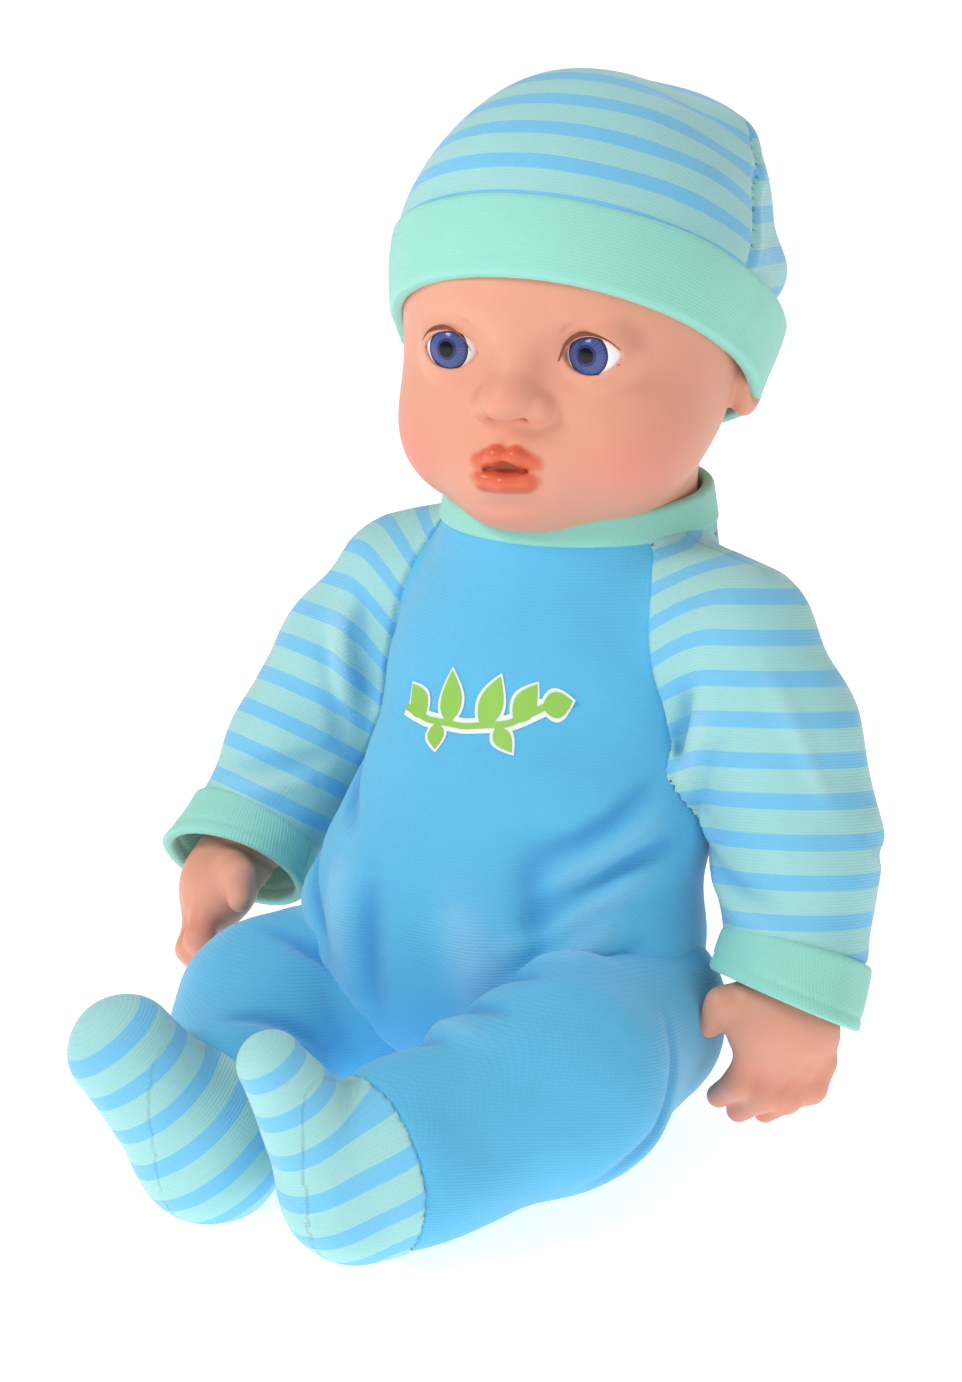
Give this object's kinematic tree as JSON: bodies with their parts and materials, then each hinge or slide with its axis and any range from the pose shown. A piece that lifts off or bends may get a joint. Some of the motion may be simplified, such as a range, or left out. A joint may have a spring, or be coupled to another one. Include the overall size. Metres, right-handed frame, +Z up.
{
  "type": "interactive baby doll",
  "caption": "Seated baby doll in a footed romper and cap: hard vinyl head and limbs on a plastic torso with a voice box, a chest button and a mouth switch.",
  "frame": {"origin": "centre of the flat seat face that the doll sits on", "axes": "the doll faces -Y, its own left is +X, +Z is up"},
  "size_m": [0.2264, 0.2476, 0.3177],
  "materials": {
    "suit_blue": "fine jersey knit, sky blue",
    "knit_mint": "fine rib knit, mint",
    "stripe_knit": "striped jersey knit, pale mint and sky blue",
    "print": "printed motif",
    "fastener": "hook-and-loop strip",
    "vinyl_skin": "soft matt vinyl, flesh pink",
    "eye": "clear-coated eye, white with a blue iris",
    "white_abs": "moulded ABS",
    "pom": "acetal",
    "screw": "zinc-plated steel",
    "spring": "spring steel",
    "board": "green fibreglass board",
    "switch": "black switch body",
    "cell": "painted steel can",
    "contact": "brass strip",
    "speaker": "pressed steel frame",
    "lead": "flexible insulated wire"
  },
  "bodies": {
    "torso": {"torso_front_shell": "white_abs", "torso_rear_shell": "white_abs", "torso_screws": "screw", "voice_housing": "white_abs", "voice_lid": "white_abs", "circuit_board": "board", "chest_switch": "switch", "battery_cells": "cell", "battery_contacts": "contact", "battery_door": "white_abs", "battery_door_screw": "screw", "speaker": "speaker", "button_spring": "spring", "power_switch_base": "switch", "suit_body": "suit_blue", "neckband": "knit_mint", "suit_print": "print", "back_fastener": "fastener"},
    "head": {"head_shell": "vinyl_skin", "left_eye": "eye", "right_eye": "eye", "left_eye_cup": "white_abs", "right_eye_cup": "white_abs", "mouth_socket": "white_abs", "mouth_switch": "switch", "mouth_spring": "spring", "mouth_lead": "lead", "neck_plug": "white_abs"},
    "mouth_plunger": {"mouth_plunger": "pom"},
    "chest_button": {"chest_button": "white_abs"},
    "power_slider": {"power_slider": "pom"},
    "cap": {"cap_crown": "stripe_knit", "cap_band": "knit_mint"},
    "left_arm": {"left_arm": "vinyl_skin", "left_shoulder_plug": "white_abs", "left_sleeve": "stripe_knit", "left_cuff": "knit_mint"},
    "right_arm": {"right_arm": "vinyl_skin", "right_shoulder_plug": "white_abs", "right_sleeve": "stripe_knit", "right_cuff": "knit_mint"},
    "left_leg": {"left_leg": "vinyl_skin", "left_hip_plug": "white_abs", "left_trouser": "suit_blue", "left_foot": "stripe_knit"},
    "right_leg": {"right_leg": "vinyl_skin", "right_hip_plug": "white_abs", "right_trouser": "suit_blue", "right_foot": "stripe_knit"}
  },
  "joints": [
    {"name": "neck_turn", "type": "hinge", "parent": "torso", "child": "head", "pos_m": [0, 0.027, 0.19], "axis": [0, 0, 1], "range_deg": [-74, 46]},
    {"name": "left_shoulder", "type": "hinge", "parent": "torso", "child": "left_arm", "pos_m": [0.058, 0.022, 0.154], "axis": [1, 0, 0], "range_deg": [-107.5, 37.5]},
    {"name": "right_shoulder", "type": "hinge", "parent": "torso", "child": "right_arm", "pos_m": [-0.058, 0.022, 0.154], "axis": [1, 0, 0], "range_deg": [-88, 57]},
    {"name": "left_hip", "type": "hinge", "parent": "torso", "child": "left_leg", "pos_m": [0.038, -0.004, 0.038], "axis": [1, 0, 0], "range_deg": [-10, 80]},
    {"name": "right_hip", "type": "hinge", "parent": "torso", "child": "right_leg", "pos_m": [-0.038, -0.004, 0.038], "axis": [1, 0, 0], "range_deg": [-10, 80]},
    {"name": "cap_lift", "type": "slide", "parent": "head", "child": "cap", "axis": [-0.121, 0.4851, 0.866], "range_m": [0, 0.12]},
    {"name": "chest_press", "type": "slide", "parent": "torso", "child": "chest_button", "axis": [0, 1, 0], "range_m": [0, 0.0025], "stiffness_N_per_m": 300, "deforming": ["button_spring"]},
    {"name": "mouth_press", "type": "slide", "parent": "head", "child": "mouth_plunger", "axis": [-0.2419, 0.9703, 0], "range_m": [0, 0.003], "stiffness_N_per_m": 200, "deforming": ["mouth_spring"]},
    {"name": "power_slide", "type": "slide", "parent": "torso", "child": "power_slider", "axis": [1, 0, 0], "range_m": [0, 0.004]}
  ]
}
